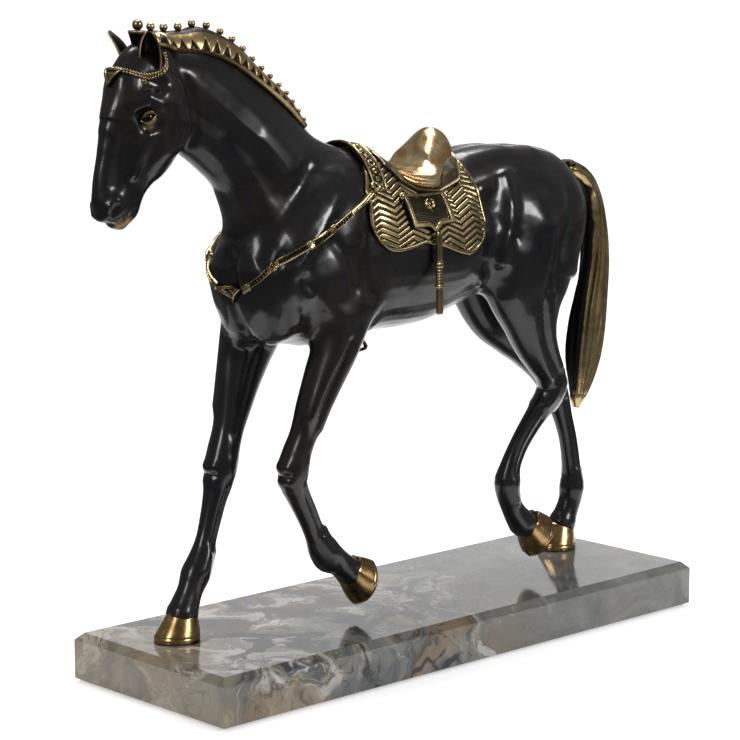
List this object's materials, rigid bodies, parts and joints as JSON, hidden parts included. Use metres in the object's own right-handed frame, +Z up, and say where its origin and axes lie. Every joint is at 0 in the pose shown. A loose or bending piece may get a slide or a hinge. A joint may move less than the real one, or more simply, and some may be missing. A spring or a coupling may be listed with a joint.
{
  "type": "horse statuette",
  "caption": "Dark patinated bronze horse walking, with polished tack, saddle, plaited mane and hooves, on a chamfered marble plinth.",
  "frame": {"origin": "centre of the plinth's underside, on the felt", "axes": "+Z up; the horse looks along -X, so its left side faces -Y"},
  "size_m": [0.4401, 0.14, 0.3977],
  "materials": {
    "dark_bronze": "near-black patina, satin wax polish",
    "gold_bronze": "antique gold, polished on the high points, dark in the recesses",
    "polished_hoof": "polished amber gold",
    "marble": "polished grey and ochre veined marble",
    "felt": "black felt",
    "steel": "zinc plated"
  },
  "bodies": {
    "root": {"base_felt": "felt", "brow_plaque": "gold_bronze", "browband": "gold_bronze", "collar_left": "gold_bronze", "collar_plaque": "gold_bronze", "collar_right": "gold_bronze", "collar_ring_left": "gold_bronze", "collar_ring_right": "gold_bronze", "ear_left": "dark_bronze", "ear_right": "dark_bronze", "eye_left": "gold_bronze", "eye_right": "gold_bronze", "foreleg_left": "dark_bronze", "foreleg_right": "dark_bronze", "forelock": "dark_bronze", "head": "dark_bronze", "hindleg_left": "dark_bronze", "hindleg_right": "dark_bronze", "hoof_front_left": "polished_hoof", "hoof_front_right": "polished_hoof", "hoof_hind_left": "polished_hoof", "hoof_hind_right": "polished_hoof", "mane_crest": "gold_bronze", "neck": "dark_bronze", "nut_fore": "steel", "nut_hind": "steel", "panel_left": "gold_bronze", "panel_right": "gold_bronze", "panel_ring_left": "gold_bronze", "panel_ring_right": "gold_bronze", "plinth": "marble", "saddle_pad": "gold_bronze", "saddle_seat": "gold_bronze", "stirrup_right": "gold_bronze", "strap_left": "gold_bronze", "strap_right": "gold_bronze", "stud_fore": "steel", "stud_hind": "steel", "tail": "gold_bronze", "torso": "dark_bronze", "washer_fore": "steel", "washer_hind": "steel", "yoke_band": "gold_bronze"}
  },
  "joints": []
}
